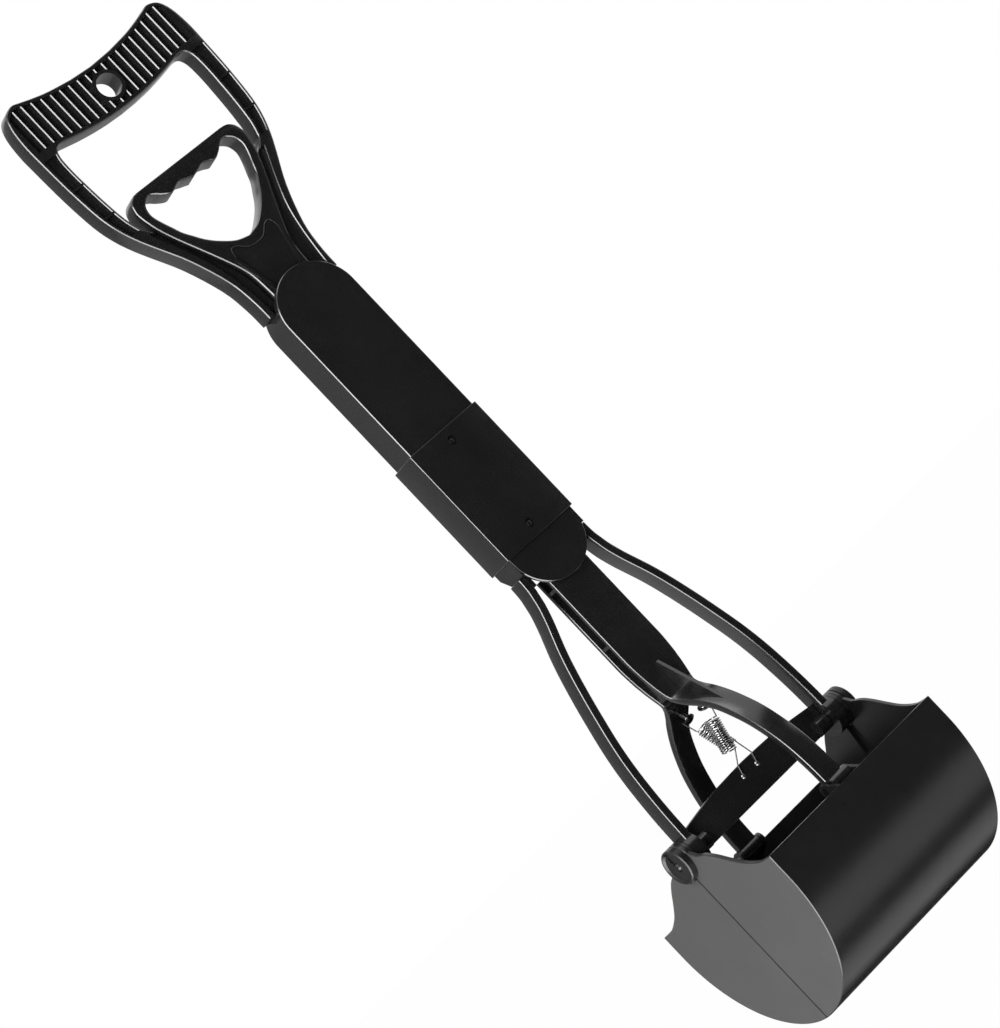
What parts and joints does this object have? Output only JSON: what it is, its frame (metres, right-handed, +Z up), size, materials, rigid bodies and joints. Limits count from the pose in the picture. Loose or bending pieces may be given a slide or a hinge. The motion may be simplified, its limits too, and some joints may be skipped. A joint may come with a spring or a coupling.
{
  "type": "pooper scooper",
  "caption": "Folding pet waste scoop: ribbed D-grip with squeeze trigger, locking sleeve, curved yoke arms, sprung wishbone rod and clamshell jaws.",
  "frame": {"origin": "centre of the hang hole in the grip, in the middle of the handle's thickness", "axes": "+Z up along the handle, jaws at the bottom; -Y out of the ribbed front of the grip; the jaw hinge runs along X, 482 mm below the origin"},
  "size_m": [0.1382, 0.134, 0.6076],
  "materials": {
    "black_plastic": "satin moulded black with a fine grain",
    "scoop_plastic": "smoother satin charcoal black",
    "bright_steel": "plain drawn steel",
    "dark_steel": "blackened steel"
  },
  "bodies": {
    "frame": {"handle_frame": "black_plastic", "upper_housing": "black_plastic", "lower_housing": "black_plastic", "side_link_left": "black_plastic", "side_link_right": "black_plastic", "fold_rivet_upper_left": "bright_steel", "fold_rivet_upper_right": "bright_steel", "fold_rivet_lower_left": "bright_steel", "fold_rivet_lower_right": "bright_steel", "detent_button_upper": "black_plastic", "detent_button_lower": "black_plastic", "left_arm": "black_plastic", "right_arm": "black_plastic", "hinge_pin_left": "dark_steel", "hinge_pin_right": "dark_steel", "hinge_cap_left": "black_plastic", "hinge_cap_right": "black_plastic", "cross_bar": "black_plastic", "spring_front": "bright_steel", "spring_back": "bright_steel"},
    "trigger_rod": {"trigger": "black_plastic", "center_link": "black_plastic", "center_pin_upper": "bright_steel", "center_pin_lower": "bright_steel", "rod_core": "black_plastic", "front_wishbone": "black_plastic", "back_wishbone": "black_plastic", "spring_anchor_front": "dark_steel", "spring_anchor_back": "dark_steel"},
    "sleeve": {"lock_sleeve": "black_plastic"},
    "jaw_front": {"front_jaw": "scoop_plastic", "front_jaw_pin": "bright_steel"},
    "jaw_back": {"back_jaw": "scoop_plastic", "back_jaw_pin": "bright_steel"}
  },
  "joints": [
    {"name": "trigger_slide", "type": "slide", "parent": "frame", "child": "trigger_rod", "axis": [0, 0, 1], "range_m": [0, 0.0347], "stiffness_N_per_m": 400, "springref_m": -0.02, "deforming": ["spring_front", "spring_back"]},
    {"name": "sleeve_slide", "type": "slide", "parent": "frame", "child": "sleeve", "axis": [0, 0, 1], "range_m": [0, 0.0568]},
    {"name": "front_jaw_hinge", "type": "hinge", "parent": "frame", "child": "jaw_front", "pos_m": [0, 0, -0.482], "axis": [-1, 0, 0], "range_deg": [0, 35]},
    {"name": "back_jaw_hinge", "type": "hinge", "parent": "frame", "child": "jaw_back", "pos_m": [0, 0, -0.482], "axis": [1, 0, 0], "range_deg": [0, 35]}
  ],
  "couplings": [
    {"joint": "front_jaw_hinge", "follows": "trigger_slide", "rad_per_m": 17.6},
    {"joint": "back_jaw_hinge", "follows": "trigger_slide", "rad_per_m": 17.6}
  ]
}
